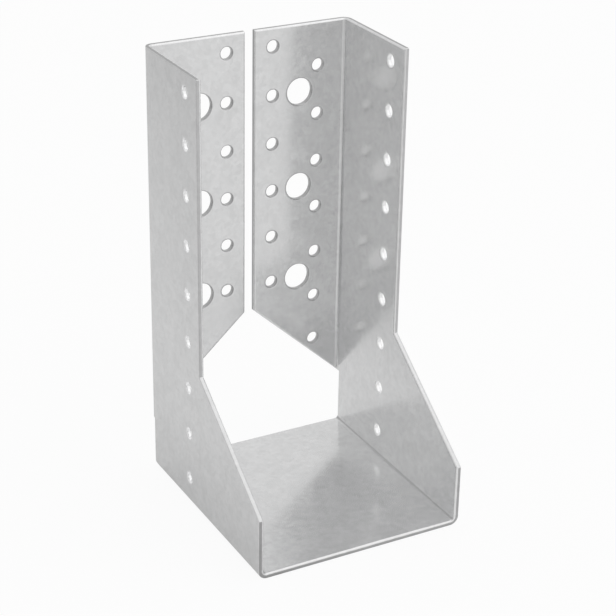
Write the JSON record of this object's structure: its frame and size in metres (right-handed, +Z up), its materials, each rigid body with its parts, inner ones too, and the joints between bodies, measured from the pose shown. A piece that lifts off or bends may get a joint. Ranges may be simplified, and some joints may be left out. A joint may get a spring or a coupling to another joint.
{
  "type": "joist hanger",
  "caption": "Folded galvanised steel joist hanger: a seat, two flared side plates and flanges folded inward to nail or bolt to a header.",
  "frame": {"origin": "under the middle of the bounding box, on the lower face of the seat", "axes": "+Z up along the side plates, +Y towards the header that the flanges are fixed to, +X across the pocket; the joist comes in from -Y"},
  "size_m": [0.088, 0.0974, 0.18],
  "materials": {
    "galvanised_steel": "hot-dip galvanised sheet, semi-gloss, with a faint mottle"
  },
  "bodies": {
    "root": {"hanger": "galvanised_steel"}
  },
  "joints": []
}
